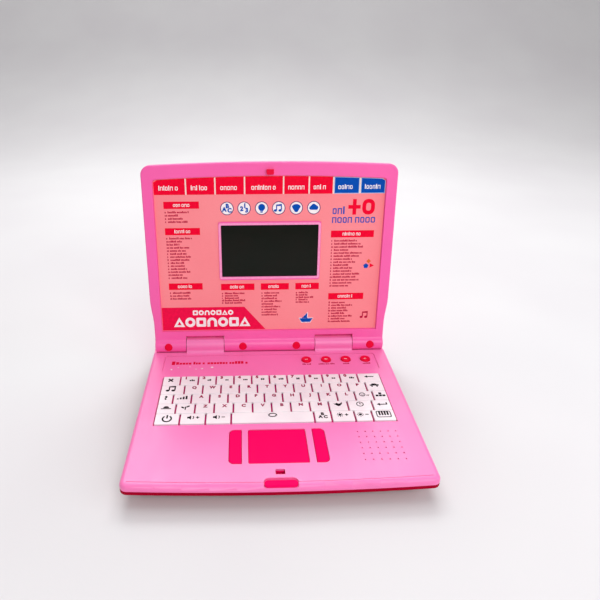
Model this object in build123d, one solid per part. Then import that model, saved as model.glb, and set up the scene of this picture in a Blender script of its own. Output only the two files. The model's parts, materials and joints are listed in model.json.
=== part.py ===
from build123d import *
import os
from math import cos, radians, sin

# Toy laptop computer. Millimetres. The model is drawn in a working frame with X to the right, Y from
# the front seam towards the hinge and Z up from the deck. TO_ROW then stands it on the table, centred.

# Overall sizes
BASE_WIDTH = 270.0
FRONT_WALL_Y = -9.4
FRONT_SAG = 4.0
REAR_Y = 218.0
BASE_CORNER = 7.0
BASE_HEIGHT = 22.0
FOOT_HEIGHT = 2.0
DECK_HEIGHT = BASE_HEIGHT + FOOT_HEIGHT
WALL = 2.0
FLOOR_Z = -BASE_HEIGHT

# Base shells
PARTING_Z = -6.0
DECK_ROUND = 4.0
BAND_Z = -9.5
UNDERCUT = 12.0
STRIP_Y = 193.5
SCREW_PLACES = [(side * x, y) for side in (-1, 1) for x, y in ((48, 8), (120, 60), (120, 182))]
BOARD_POSTS = [(side * x, y) for side in (-1, 1) for x, y in ((40, 30), (105, 75), (105, 178))]
FOOT_PLACES = [(side * 116, y) for side in (-1, 1) for y in (13, 200)]

# Hinge and lid
HINGE_Y = 204.7
HINGE_Z = 5.4
OPEN_ANGLE = 97.7
BARREL_RADIUS = 9.0
CRADLE_RADIUS = 10.0
KNUCKLE_INNER = 53.0
KNUCKLE_OUTER = 96.0
HINGE_GAP = 0.6
KNUCKLE_BLEND = 4.0
PIN_RADIUS = 2.0
BUSH_RADIUS = 3.2
RUNNING = 0.05
PIN_GRIP = 10.0
LID_FRONT = 5.14
LID_BACK = 8.0
LID_LENGTH = 207.3
LID_TOP_SAG = 3.3
LID_NARROW = 132.2
LID_WIDE = 135.0
LID_CURVE = (25.0, 58.0)
LID_CORNER = 10.0
NOTCH_S = 13.0
BACK_NOTCH_S = 10.2
LID_CAVITY_S = 17.0
LID_ROUND_FRONT = 1.5
LID_ROUND_BACK = 4.0
RECESS = 2.8
PANEL_T = LID_FRONT - RECESS
PANEL_THICK = 1.5
SHEET_SIZE = (246.0, 19.0, 193.0, 3.4)
SHEET_THICK = 0.3
SCREEN_S = 112.0
SCREEN_SIZE = (106.0, 58.0)
SCREEN_FRAME = (111.4, 65.4)
FRAME_RISE = 0.8
SCREEN_LEDGE = 2.0
WINDOW_SEAT = 0.6
PLUG_XS = (-116.8, -31.0, 31.0, 116.8)
PLUG_RADIUS = 4.5
PLUG_SINK = 6.0
BARREL_SCREW_S = 0.4
BARREL_SCREW_HEAD = 3.5
HOOK_S = (195.6, 200.0)
HOOK_HALF = 3.8
HOOK_TIP = LID_FRONT + 4.15
CABLE_X = -37.0
CABLE_RADIUS = 1.0
CABLE_BORE = 2.6
CABLE_HANDOVER = -76.0
CABLE_DROP_X = -78.5
CABLE_RUN_Z = -4.8
CABLE_BOARD_Y = 185.0

# Gaps round sliding pieces, and screws
SLIDE_CLEAR = 0.3
CONTROL_GAP = 0.45
SCREW_RADIUS = 1.5
SCREW_HOLE = 1.8

# Keyboard
KEY = 18.95
ROW_UNITS = 12.3
KEYS_LEFT = -116.7
KEYS_TOP = 146.5
ROW_PITCH = 15.46
KEY_GAP = 1.7
ROW_GAP = 0.4
CAP_TOP = 1.4
KEY_TRAVEL = 1.1
CAP_BOTTOM = -WALL + KEY_TRAVEL + SLIDE_CLEAR
STEM = 5.0
STEM_BOTTOM = -5.4
KEY_FRAME_LOW = -3.8
HOME_KEY = (ROW_UNITS - 0.77 - 0.79) / 11
KEY_ROWS = (
    [("esc_key", 1.0)] + [("digit_keys", 1.0)] * 10 + [("back_key", 1.3)],
    [("music_key", 1.3)] + [("top_letter_keys", 1.0)] * 10 + [("car_key", 1.0)],
    [("help_key", 0.77), ("level_key", HOME_KEY)]
    + [("home_letter_keys", HOME_KEY)] * 10
    + [("blocks_key", 0.79)],
    [("hat_key", 1.0), ("sprout_key", 1.0)]
    + [("bottom_letter_keys", 1.0)] * 8
    + [("bottom_letter_keys", 1.3), ("enter_key", 1.0)],
    [
        ("power_key", 1.29),
        ("volume_up_key", 1.31),
        ("volume_down_key", 1.3),
        ("repeat_bar", 4.23),
        ("letters_key", 0.88),
        ("contrast_up_key", 1.2),
        ("contrast_down_key", 0.9),
        ("piano_key", 1.19),
    ],
)

# Controls on the deck
BUTTON_XS = (40.8, 63.2, 85.6, 107.8)
BUTTON_Y = 177.0
BUTTON_RADIUS = 5.5
BUTTON_TOP = 1.2
TITLE_PANEL = (240.0, 32.0, 173.0)
PAD = (-26.6, 26.2, 17.4, 60.5)
CLICK_INNER = 33.0
CLICK_OUTER = 44.0
GRILLE_CENTRE = (93.1, 37.4)
GRILLE_PITCH = 7.18
GRILLE_HOLE = 0.75
FLANGE_TOP = -2.3
FLANGE_BOTTOM = -3.6
TITLE_DEPTH = 0.4
GROOVE = 0.6
SLOT = (-4.1, 4.1, 4.3, 10.3)
PILL = (28.2, 6.8)
PILL_Y = -5.3
PILL_BOTTOM = -2.1
PILL_TOP = -0.3
LATCH_TRAVEL = 1.5
POCKET_FLOOR = -2.2
POCKET_REAR = 0.6
STEM_Y = (-4.3, -2.2)
SLIDER_TOP = -4.3
SLIDER_LOW = -6.2
STEM_FLOOR = -5.0
SLIDER_BACK_Y = 13.0
SPRING_END_Y = 18.0
SPRING_Z = -5.25

# Inside the base
BOARD_TOP = -7.9
BOARD_THICK = 1.6
CELL_RADIUS = 7.25
CELL_LENGTH = 50.5
CELL_PITCH = 15.5
BAY = (-110.5, -53.5, 9.5, 58.5)
BAY_TOP = -3.4
BAY_WALL = 1.6
DOOR_THICK = 2.0
DOOR_TAB = (-54.0, -44.6, 29.0, 39.0)
DOOR_SCREW = (-48.8, 34.0)
SOCKET = (98.0, -14.0)
SOCKET_BORE = 1.8
SOCKET_DEPTH = 11.0
SOCKET_PROUD = 0.5
POST_MEETING = -8.0
SPRING_STOP_TOP = -3.6

LEAN = OPEN_ANGLE - 90
LID_REACH_Y = HINGE_Y + LID_LENGTH * sin(radians(LEAN)) + LID_BACK * cos(radians(LEAN))
CENTRE_Y = (FRONT_WALL_Y + LID_REACH_Y) / 2
TO_ROW = Pos(0, -CENTRE_Y, DECK_HEIGHT)
LID_PLACE = Pos(0, HINGE_Y, HINGE_Z) * Rot(X=180 - OPEN_ANGLE)


def block(x0, x1, y0, y1, z0, z1):
    """A box between two opposite corners."""
    return Pos((x0 + x1) / 2, (y0 + y1) / 2, (z0 + z1) / 2) * Box(x1 - x0, y1 - y0, z1 - z0)


def post(x, y, radius, z0, z1):
    """An upright cylinder between two heights."""
    return Pos(x, y, (z0 + z1) / 2) * Cylinder(radius, z1 - z0)


def axle(x0, x1, radius):
    """A cylinder along X on the line Y = Z = 0."""
    return Pos((x0 + x1) / 2, 0, 0) * Rot(Y=90) * Cylinder(radius, x1 - x0)


def pad_block(x0, x1, y0, y1, z0, z1, corner):
    """A box with rounded upright corners."""
    outline = Pos((x0 + x1) / 2, (y0 + y1) / 2) * RectangleRounded(x1 - x0, y1 - y0, corner)
    return Pos(0, 0, z0) * extrude(outline, z1 - z0)


def along_x(profile, x0, x1):
    """A YZ profile drawn out along X."""
    return extrude(Plane.YZ.offset(x0) * profile, x1 - x0)


def base_plan(inset=0.0, rear_inset=None):
    """Outline of the base, moved in from its walls: straight sides and a bowed front."""
    half = BASE_WIDTH / 2 - inset
    rear = REAR_Y - (inset if rear_inset is None else rear_inset)
    front = FRONT_WALL_Y + inset
    corner = front + FRONT_SAG
    bow = ThreePointArc((-half, corner), (0, front), (half, corner))
    sides = Polyline((half, corner), (half, rear), (-half, rear), (-half, corner))
    face = make_face(bow.edges() + sides.edges())
    return fillet(face.vertices(), max(BASE_CORNER - inset / 3, 2.5))


def knuckle(x0, x1):
    """A fixed hinge knuckle that runs down into the deck in one curve."""
    barrel = Pos(HINGE_Y, HINGE_Z) * Circle(BARREL_RADIUS)
    foot = Pos(HINGE_Y - 10, -1) * Rectangle(20, 2)
    profile = barrel + foot
    meeting = profile.vertices().sort_by_distance(Vector(HINGE_Y - 7.2, 0, 0))[0]
    return along_x(fillet(meeting, KNUCKLE_BLEND), x0, x1)


def cradle_cuts():
    """The trough that each turning stretch of the lid barrel lies in."""
    half = BASE_WIDTH / 2 + 1
    stretches = ((-half, -KNUCKLE_OUTER), (-KNUCKLE_INNER, KNUCKLE_INNER), (KNUCKLE_OUTER, half))
    return [Pos(0, HINGE_Y, HINGE_Z) * axle(x0, x1, CRADLE_RADIUS) for x0, x1 in stretches]


def seam_groove():
    """A fine line along the front lip, where the closed lid ends."""
    half, ends = BASE_WIDTH / 2 - 6, -0.5
    middle = ends - FRONT_SAG
    lower = ThreePointArc((-half, ends), (0, middle), (half, ends))
    upper = ThreePointArc((-half, ends + GROOVE), (0, middle + GROOVE), (half, ends + GROOVE))
    caps = [Line((x, ends), (x, ends + GROOVE)) for x in (-half, half)]
    face = make_face(lower.edges() + upper.edges() + caps[0].edges() + caps[1].edges())
    return Pos(0, 0, -GROOVE) * extrude(face, 1)


def title_recess():
    """The shallow field above the keyboard, with a finer groove round it."""
    width, depth, y = TITLE_PANEL
    field = RectangleRounded(width, depth, 3)
    outline = field - RectangleRounded(width - 2 * GROOVE, depth - 2 * GROOVE, 3 - GROOVE)
    recess = Pos(0, y, -TITLE_DEPTH) * extrude(field, 2)
    return recess + Pos(0, y, -TITLE_DEPTH - GROOVE) * extrude(outline, 2)


def click_outline(side, grow=0.0):
    """Plan of a click button: a bar beside the touch pad with its outer corners rounded."""
    x0, x1 = sorted((side * (CLICK_INNER - grow), side * (CLICK_OUTER + grow)))
    y0, y1 = PAD[2] - grow, PAD[3] + grow
    face = Pos((x0 + x1) / 2, (y0 + y1) / 2) * Rectangle(x1 - x0, y1 - y0)
    outer = face.vertices().sort_by(Axis.X)[2:] if side > 0 else face.vertices().sort_by(Axis.X)[:2]
    return fillet(outer, 5.0)


def latch_pocket():
    """The hollow in the front lip that the latch button slides in, and the slot for its stem."""
    half = PILL[0] / 2 + CONTROL_GAP
    hollow = pad_block(-half, half, FRONT_WALL_Y - 4, POCKET_REAR, POCKET_FLOOR, 3, 4.6)
    travel = (STEM_Y[0] - SLIDE_CLEAR, STEM_Y[1] + LATCH_TRAVEL + SLIDE_CLEAR)
    stem_slot = block(-5.3, 5.3, *travel, STEM_FLOOR, POCKET_FLOOR + 0.2)
    return hollow + stem_slot


def base_top_shell():
    shell = Pos(0, 0, PARTING_Z) * extrude(base_plan(), -PARTING_Z)
    shell = fillet(shell.edges().group_by(Axis.Z)[-1], DECK_ROUND)
    hollow = base_plan(WALL, REAR_Y - STRIP_Y)
    shell -= Pos(0, 0, PARTING_Z - 1) * extrude(hollow, -PARTING_Z + 1 - WALL)
    shell += block(-17, 17, -6.8, 4.2, -4.0, -1.0)
    for cut in cradle_cuts():
        shell -= cut
    for side in (-1, 1):
        x0, x1 = sorted((side * KNUCKLE_INNER, side * KNUCKLE_OUTER))
        shell += knuckle(x0, x1)
    for x, y in SCREW_PLACES:
        shell += post(x, y, 3.5, POST_MEETING, -1) - post(x, y, SCREW_RADIUS, POST_MEETING - 1, -3)
    shell -= hinge_bores()
    shell -= deck_openings()
    return shell


def hinge_bores():
    """Bores of the fixed knuckles, with the cable's way down on the left."""
    left_pin = axle(-KNUCKLE_OUTER - 1, -KNUCKLE_OUTER + 12, PIN_RADIUS)
    cable_way = axle(-KNUCKLE_OUTER + 12, -KNUCKLE_INNER - 10, CABLE_BORE)
    bush = axle(-KNUCKLE_INNER - 12, -KNUCKLE_INNER + 1, BUSH_RADIUS)
    right_pin = axle(KNUCKLE_INNER - 1, KNUCKLE_OUTER + 1, PIN_RADIUS)
    bores = Pos(0, HINGE_Y, HINGE_Z) * (left_pin + cable_way + bush + right_pin)
    way = (CABLE_DROP_X - 2.5, CABLE_DROP_X + 2.5)
    drop = block(*way, STRIP_Y - 1.5, HINGE_Y + 2, PARTING_Z - 1, -2.5)
    riser = block(*way, HINGE_Y - 2, HINGE_Y + 2, -4.0, HINGE_Z)
    return bores + drop + riser


def deck_openings():
    """Everything cut through or into the deck."""
    keys = block(KEYS_LEFT - 0.4, KEYS_LEFT + ROW_UNITS * KEY + 0.4, *key_field_y(0.4), -5, 3)
    pad = pad_block(*grown(PAD, CONTROL_GAP), -5, 3, 1.6)
    cuts = keys + pad + block(*SLOT, -5, 3) + latch_pocket() + seam_groove() + title_recess()
    for side in (-1, 1):
        cuts += Pos(0, 0, -5) * extrude(click_outline(side, CONTROL_GAP), 8)
    for x in BUTTON_XS:
        cuts += post(x, BUTTON_Y, BUTTON_RADIUS + CONTROL_GAP, -5, 3)
    holes = GridLocations(GRILLE_PITCH, GRILLE_PITCH, 6, 6) * Circle(GRILLE_HOLE)
    cuts += Pos(*GRILLE_CENTRE, -5) * extrude(Sketch() + holes, 8)
    return cuts


def key_field_y(grow):
    """Lowest and highest Y of the keyboard, grown all round."""
    return KEYS_TOP - len(KEY_ROWS) * ROW_PITCH - grow, KEYS_TOP + grow


def tray(inset, undercut, floor):
    """A solid with upright rear wall, whose front and sides slope in below a narrow band."""
    past_rear = -20
    height = PARTING_Z - floor
    column = Pos(0, 0, floor) * extrude(base_plan(inset), height)
    band = Pos(0, 0, BAND_Z) * extrude(base_plan(inset, past_rear), PARTING_Z - BAND_Z)
    top = Pos(0, 0, BAND_Z) * base_plan(inset, past_rear)
    low = Pos(0, 0, floor) * base_plan(undercut, past_rear)
    return column & (band + loft([top, low], ruled=True))


def base_bottom_shell():
    """Crimson tray with the battery bay, screw posts, board posts and foot pockets."""
    shell = tray(0, UNDERCUT, FLOOR_Z) - tray(WALL, UNDERCUT + 0.6, FLOOR_Z + WALL)
    x0, x1, y0, y1 = BAY
    wall = BAY_WALL
    shell += block(x0 - wall, x1 + wall, y0 - wall, y1 + wall, FLOOR_Z + 1, BAY_TOP)
    for x, y in SCREW_PLACES:
        shell += post(x, y, 4.2, FLOOR_Z + 1, POST_MEETING)
        shell -= post(x, y, SCREW_HOLE, FLOOR_Z - 1, POST_MEETING + 1)
        shell -= post(x, y, 3.3, FLOOR_Z - 1, FLOOR_Z + 3)
    for x, y in BOARD_POSTS:
        shell += post(x, y, 2.5, FLOOR_Z + 1, BOARD_TOP - BOARD_THICK)
    for x, y in FOOT_PLACES:
        shell -= post(x, y, 5.0, FLOOR_Z - 1, FLOOR_Z + 0.8)
    shell += block(-4, 4, SPRING_END_Y, SPRING_END_Y + WALL, FLOOR_Z + 1, SPRING_STOP_TOP)
    shell += post(*DOOR_SCREW, 4.4, FLOOR_Z + 1, -12.0)
    shell -= post(*DOOR_SCREW, SCREW_HOLE, FLOOR_Z - 1, -13.0)
    shell -= block(*grown(DOOR_TAB, SLIDE_CLEAR), FLOOR_Z - 1, FLOOR_Z + DOOR_THICK + 0.1)
    shell -= block(x0, x1, y0, y1, FLOOR_Z - 1, BAY_TOP - wall)
    x, z = SOCKET
    shell -= Pos(x, REAR_Y - 2, z) * Rot(X=90) * Cylinder(4.5, 14)
    return shell


def grown(plan, gap):
    """A plan box (x0, x1, y0, y1) made larger all round, or smaller for a negative gap."""
    x0, x1, y0, y1 = plan
    return x0 - gap, x1 + gap, y0 - gap, y1 + gap


def key_cap(x0, x1, y0, y1):
    """One key: a softly rounded cap on one or two stems."""
    cap = pad_block(x0, x1, y0, y1, CAP_BOTTOM, CAP_TOP, 1.0)
    cap = fillet(cap.edges().group_by(Axis.Z)[-1], 0.5)
    for x, y in stem_places(x0, x1, y0, y1):
        half = STEM / 2
        cap += block(x - half, x + half, y - half, y + half, STEM_BOTTOM, CAP_BOTTOM + 0.5)
    return cap


def stem_places(x0, x1, y0, y1):
    """Centre of a key, or two places near the ends of a long one."""
    x, y = (x0 + x1) / 2, (y0 + y1) / 2
    return [(x - 28, y), (x + 28, y)] if x1 - x0 > 50 else [(x, y)]


def key_boxes():
    """Every key's node name and plan box, row by row from the back."""
    for number, row in enumerate(KEY_ROWS):
        y1 = KEYS_TOP - number * ROW_PITCH - ROW_GAP / 2
        x = KEYS_LEFT
        for name, units in row:
            wide = units * KEY
            yield name, (x + KEY_GAP / 2, x + wide - KEY_GAP / 2, y1 - ROW_PITCH + ROW_GAP, y1)
            x += wide


def key_nodes():
    """Caps grouped by node name."""
    nodes = {}
    for name, box in key_boxes():
        nodes.setdefault(name, []).append(key_cap(*box).solid())
    return {name: Compound(caps) for name, caps in nodes.items()}


def key_frame():
    """The plate under the caps, with an opening for each stem."""
    right = KEYS_LEFT + ROW_UNITS * KEY
    plate = block(KEYS_LEFT - 2.2, right + 2.2, *key_field_y(2.2), KEY_FRAME_LOW, -WALL)
    half = STEM / 2 + SLIDE_CLEAR
    for _, box in key_boxes():
        for x, y in stem_places(*box):
            plate -= block(x - half, x + half, y - half, y + half, -5, 0)
    return plate


def keypad_membrane():
    return block(-113, 113, *key_field_y(-1), BOARD_TOP, -6.7)


def main_board():
    board = block(-114, 114, 66, 189, BOARD_TOP - BOARD_THICK, BOARD_TOP)
    board += block(-46, 46, 23, 67, BOARD_TOP - BOARD_THICK, BOARD_TOP)
    return board


def round_button(x):
    """A red push button with a shallow dish and a hidden flange."""
    cap = post(x, BUTTON_Y, BUTTON_RADIUS, -3.2, BUTTON_TOP)
    cap = fillet(cap.edges().group_by(Axis.Z)[-1], 0.6)
    dish = 13.5
    cap -= Pos(x, BUTTON_Y, BUTTON_TOP - 0.6 + dish) * Sphere(dish)
    return cap + post(x, BUTTON_Y, BUTTON_RADIUS + 1.4, FLANGE_BOTTOM, FLANGE_TOP)


def click_button(side):
    """A long click button with a hidden flange."""
    cap = Pos(0, 0, -3.0) * extrude(click_outline(side), 3.3)
    cap = fillet(cap.edges().group_by(Axis.Z)[-1], 0.5)
    return cap + Pos(0, 0, FLANGE_BOTTOM) * extrude(click_outline(side, 1.6), FLANGE_TOP - FLANGE_BOTTOM)


def touch_pad():
    top = pad_block(*PAD, -WALL, -0.5, 1.3)
    top = fillet(top.edges().group_by(Axis.Z)[-1], 0.3)
    return top + pad_block(*grown(PAD, 2), -WALL - 1.2, -WALL, 2.0)


def button_pads():
    """Rubber switch pads between the deck buttons and the board."""
    places = [(x, BUTTON_Y) for x in BUTTON_XS]
    places += [(side * (CLICK_INNER + CLICK_OUTER) / 2, 39) for side in (-1, 1)]
    return Compound([post(x, y, 3.5, BOARD_TOP, -5.2).solid() for x, y in places])


def speaker():
    """A round loudspeaker: rim, basket and magnet."""
    x, y = GRILLE_CENTRE
    return post(x, y, 20, -4.2, -2.2) + post(x, y, 17, -8, -4.2) + post(x, y, 9, -13, -8)


def speaker_ring():
    """The collar that holds the speaker's rim up against the deck."""
    x, y = GRILLE_CENTRE
    ring = post(x, y, 23, -5.8, -4.2) - post(x, y, 17.3, -6, -4)
    collar = post(x, y, 23, -4.2, -WALL) - post(x, y, 20.3, -5, -1)
    return ring + collar


def bay_rows():
    """Y of each cell's axis."""
    middle = (BAY[2] + BAY[3]) / 2
    return [middle + number * CELL_PITCH for number in (-1, 0, 1)]


def cell_z():
    """Height of the cells' axes, just under the bay's roof."""
    return BAY_TOP - BAY_WALL - 0.2 - CELL_RADIUS


def batteries():
    middle = (BAY[0] + BAY[1]) / 2
    half = CELL_LENGTH / 2
    cells = []
    for y in bay_rows():
        cell = axle(middle - half, middle + half - 1, CELL_RADIUS) + axle(middle, middle + half, 2.6)
        cells.append((Pos(0, y, cell_z()) * cell).solid())
    return Compound(cells)


def battery_contacts():
    """Spring contacts at one end of the bay and plates at the other."""
    solids = []
    z = cell_z()
    for y in bay_rows():
        plate = block(BAY[0], BAY[0] + 0.4, y - 5, y + 5, z - 5, z + 5)
        spring = Pos(0, y, z) * axle(BAY[0] + 0.4, BAY[0] + 3.2, 3)
        solids.append((plate + spring).solid())
        solids.append(block(BAY[1] - 0.4, BAY[1], y - 5, y + 5, z - 5, z + 5).solid())
    return Compound(solids)


def battery_door():
    """A plate that swings down about its rounded left edge, with a screw tab on the right."""
    low, high = FLOOR_Z, FLOOR_Z + DOOR_THICK
    plan = grown(BAY, -SLIDE_CLEAR)
    door = block(*plan, low, high)
    edges = [e for e in door.edges().filter_by(Axis.Y) if abs(e.center().X - plan[0]) < 0.01]
    door = fillet(edges, DOOR_THICK / 2 - 0.02)
    door += block(plan[1] - 1, DOOR_TAB[1], DOOR_TAB[2], DOOR_TAB[3], low, high)
    return door - post(*DOOR_SCREW, 1.25, low - 1, high + 1) - post(*DOOR_SCREW, 2.4, low - 1, low + 1.2)


def battery_door_screw():
    head = post(*DOOR_SCREW, 2.4, FLOOR_Z, FLOOR_Z + 1.2) - cross_recess(*DOOR_SCREW, FLOOR_Z)
    return head + post(*DOOR_SCREW, 1.25, FLOOR_Z + 1, FLOOR_Z + 8)


def latch_button():
    """The pill in the front lip, its stem, and the slider whose nose holds the lid's hook."""
    pill = Pos(0, PILL_Y, PILL_BOTTOM) * extrude(SlotOverall(*PILL), PILL_TOP - PILL_BOTTOM)
    lip = Rectangle(14, 6, align=(Align.MIN, Align.MAX))
    lip = fillet(lip.vertices().group_by(Axis.X)[0].sort_by(Axis.Y)[-1], DECK_ROUND)
    pill &= along_x(Pos(FRONT_WALL_Y + 0.4, 0.3) * lip, -20, 20)
    stem = block(-5, 5, *STEM_Y, STEM_FLOOR, PILL_BOTTOM + 0.2)
    slider = block(-7, 7, STEM_Y[0], SLIDER_BACK_Y, SLIDER_LOW, SLIDER_TOP)
    nose = block(-3.5, 3.5, SLIDER_BACK_Y - 2, SLIDER_BACK_Y, SLIDER_TOP - 0.2, -2.3)
    nose += block(-3.5, 3.5, SLIDER_BACK_Y - 3.5, SLIDER_BACK_Y - 1.8, -2.95, -2.3)
    return pill + stem + slider + nose


def latch_spring():
    """The coil behind the slider, as one plain sleeve."""
    length = SPRING_END_Y - SLIDER_BACK_Y
    sleeve = Cylinder(1.6, length) - Cylinder(1.1, length)
    return Pos(0, SLIDER_BACK_Y + length / 2, SPRING_Z) * Rot(X=90) * sleeve


def mouse_socket():
    x, z = SOCKET
    mouth = REAR_Y + SOCKET_PROUD
    body = Pos(x, mouth - 6.5, z) * Rot(X=90) * Cylinder(4.45, 13)
    return body - Pos(x, mouth - SOCKET_DEPTH / 2, z) * Rot(X=90) * Cylinder(SOCKET_BORE, SOCKET_DEPTH)


def cross_recess(x, y, low):
    """The cross cut in the underside of a screw head."""
    long, short, deep = 1.9, 0.4, 0.8
    bars = block(-long, long, -short, short, -1, deep) + block(-short, short, -long, long, -1, deep)
    return Pos(x, y, low) * bars


def base_screws():
    solids = []
    for x, y in SCREW_PLACES:
        head = post(x, y, 3.0, FLOOR_Z + 1, FLOOR_Z + 3) - cross_recess(x, y, FLOOR_Z + 1)
        solids.append((head + post(x, y, SCREW_RADIUS, FLOOR_Z + 2.5, -4)).solid())
    return Compound(solids)


def rubber_feet():
    feet = []
    for x, y in FOOT_PLACES:
        foot = post(x, y, 4.9, -DECK_HEIGHT, FLOOR_Z + 0.8)
        feet.append(fillet(foot.edges().group_by(Axis.Z)[0], 0.6).solid())
    return Compound(feet)


def lid_plan(inset=0.0, bottom=0.0):
    """Outline of the lid: narrow at the hinge, wider above, with a bowed top edge."""
    low, high = LID_NARROW - inset, LID_WIDE - inset
    side_top = LID_LENGTH - LID_TOP_SAG - inset
    start, end = LID_CURVE
    right = Spline([(low, start), (high, end)], tangents=[(0, 1), (0, 1)])
    left = Spline([(-high, end), (-low, start)], tangents=[(0, -1), (0, -1)])
    bow = ThreePointArc((high, side_top), (0, LID_LENGTH - inset), (-high, side_top))
    lines = [
        Line((-low, bottom), (low, bottom)),
        Line((low, bottom), (low, start)),
        Line((high, end), (high, side_top)),
        Line((-high, side_top), (-high, end)),
        Line((-low, start), (-low, bottom)),
    ]
    edges = right.edges() + left.edges() + bow.edges()
    for line in lines:
        edges += line.edges()
    face = make_face(edges)
    return fillet(face.vertices().sort_by(Axis.Y)[-2:], LID_CORNER - inset)


def lid_solid():
    """The whole lid with its barrel, before it is split and hollowed."""
    thick = LID_FRONT + LID_BACK
    slab = Pos(0, 0, -LID_BACK) * extrude(lid_plan(), thick)
    slab = fillet(face_rim(slab, LID_FRONT), LID_ROUND_FRONT)
    slab = fillet(face_rim(slab, -LID_BACK), LID_ROUND_BACK)
    root = Pos(7, (LID_FRONT - LID_BACK) / 2) * Rectangle(14, thick)
    profile = root + Circle(BARREL_RADIUS)
    meeting = profile.vertices().sort_by_distance(Vector(7.4, LID_FRONT, 0))[0]
    barrel = along_x(fillet(meeting, KNUCKLE_BLEND), -LID_NARROW, LID_NARROW)
    ends = [e for e in barrel.edges() if abs(e.center().X) > LID_NARROW - 0.01 and e.center().Y < 13]
    return slab + fillet(ends, LID_ROUND_FRONT - 0.1)


def face_rim(solid, height):
    """Edges round a level face, without the one at the hinge."""
    return [e for e in solid.edges() if abs(e.center().Z - height) < 0.01 and e.center().Y > 1]


def lid_notches(reach):
    """Cuts that leave room for the fixed knuckles, up to a height above the hinge."""
    cuts = []
    for side in (-1, 1):
        x0, x1 = sorted((side * (KNUCKLE_INNER - HINGE_GAP), side * (KNUCKLE_OUTER + HINGE_GAP)))
        cuts.append(block(x0, x1, -BARREL_RADIUS - 1, reach, -LID_BACK - 2, BARREL_RADIUS + 2))
    return cuts


def sheet_plan(grow=0.0):
    """Outline of the printed sheet, with a bowed top edge."""
    width, low, top, sag = SHEET_SIZE
    half = width / 2 + grow
    side_top = top - sag + grow
    bow = ThreePointArc((half, side_top), (0, top + grow), (-half, side_top))
    sides = Polyline((-half, side_top), (-half, low - grow), (half, low - grow), (half, side_top))
    face = make_face(bow.edges() + sides.edges())
    return fillet(face.vertices().sort_by(Axis.Y)[-2:], 4.0)


def screen_block(size, t0, t1, corner):
    """A rounded block centred on the screen, between two depths."""
    return Pos(0, SCREEN_S, t0) * extrude(RectangleRounded(*size, corner), t1 - t0)


def lid_bores():
    """Running bores for the hinge pins and the bush in the lid's barrel."""
    reach = PIN_GRIP + 0.4
    inner, outer = KNUCKLE_INNER - HINGE_GAP, KNUCKLE_OUTER + HINGE_GAP
    left = axle(-outer - reach, -outer + 1, PIN_RADIUS + RUNNING)
    right = axle(outer - 1, outer + reach, PIN_RADIUS + RUNNING)
    middle = axle(inner - reach, inner + 1, PIN_RADIUS + RUNNING)
    bush = axle(-inner - 1, -inner + reach, BUSH_RADIUS + RUNNING)
    cable = axle(-inner + reach - 1, -inner + reach + 8, CABLE_BORE)
    return left + right + middle + bush + cable


def cable_channel():
    """The way from the barrel's bore up into the lid's hollow."""
    return block(CABLE_X - CABLE_BORE, CABLE_X + CABLE_BORE, -2, LID_CAVITY_S + 1, -CABLE_BORE, 0.8)


def plug_cuts():
    """Sunk holes for the barrel screws and their red plugs."""
    cuts = []
    for x in PLUG_XS:
        cuts.append(post(x, BARREL_SCREW_S, PLUG_RADIUS + 0.1, PLUG_SINK, PLUG_SINK + 6))
        cuts.append(post(x, BARREL_SCREW_S, SCREW_RADIUS, -6, PLUG_SINK + 1))
        cuts.append(post(x, BARREL_SCREW_S, 3.0, BARREL_SCREW_HEAD, PLUG_SINK + 1))
    return cuts


def finish_half(shell, notch_reach):
    """Notches, screw holes and bores that both halves of the lid share."""
    for cut in [*lid_notches(notch_reach), *plug_cuts(), lid_bores(), cable_channel()]:
        shell -= cut
    return shell


def lid_front_shell():
    """Bezel, sheet recess, raised screen frame and the front half of the barrel."""
    shell = lid_solid() & block(-200, 200, -50, 250, 0, 50)
    shell -= Pos(0, 0, PANEL_T) * extrude(sheet_plan(0.5), 10)
    shell += screen_block(SCREEN_FRAME, PANEL_T - 0.5, PANEL_T + SHEET_THICK + FRAME_RISE, 2.5)
    panel_back = PANEL_T - PANEL_THICK
    shell -= Pos(0, 0, -1) * extrude(lid_plan(WALL, LID_CAVITY_S), 1 + panel_back)
    rim = lid_plan(WALL, LID_CAVITY_S) - sheet_plan(2.0)
    shell -= extrude(rim, LID_FRONT - WALL)
    width, height = SCREEN_SIZE
    shell -= screen_block(SCREEN_SIZE, panel_back + WINDOW_SEAT, 10, 1.0)
    shell -= screen_block((width - 2 * SCREEN_LEDGE, height - 2 * SCREEN_LEDGE), -1, 5, 1.0)
    shell -= block(-HOOK_HALF, HOOK_HALF, *HOOK_S, 0, 8)
    return finish_half(shell, NOTCH_S)


def lid_back_shell():
    """Back cover and the rear half of the barrel."""
    shell = lid_solid() & block(-200, 200, -50, 250, -50, 0)
    shell -= Pos(0, 0, -LID_BACK + WALL) * extrude(lid_plan(WALL, LID_CAVITY_S), LID_BACK)
    return finish_half(shell, BACK_NOTCH_S)


def activity_sheet():
    """The printed card in the lid's recess, with a hole for the screen frame."""
    sheet = Pos(0, 0, PANEL_T) * extrude(sheet_plan(), SHEET_THICK)
    width, height = SCREEN_FRAME
    return sheet - screen_block((width + 0.4, height + 0.4), 0, 10, 2.7)


def screen_window():
    seat = PANEL_T - PANEL_THICK + WINDOW_SEAT
    width, height = SCREEN_SIZE
    return screen_block((width - 0.2, height - 0.2), seat, seat + 1.2, 0.9)


def display_module():
    return screen_block((108, 60), -3.4, PANEL_T - PANEL_THICK, 1.0)


def display_board():
    """Circuit board behind the display, with the cable's connector at its lower edge."""
    board = screen_block((112, 70), -5.0, -3.4, 1.0)
    low = SCREEN_S - 35
    return board + block(CABLE_X - 4, CABLE_X + 4, low + 0.5, low + 4, -4.0, 0.7)


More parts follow.
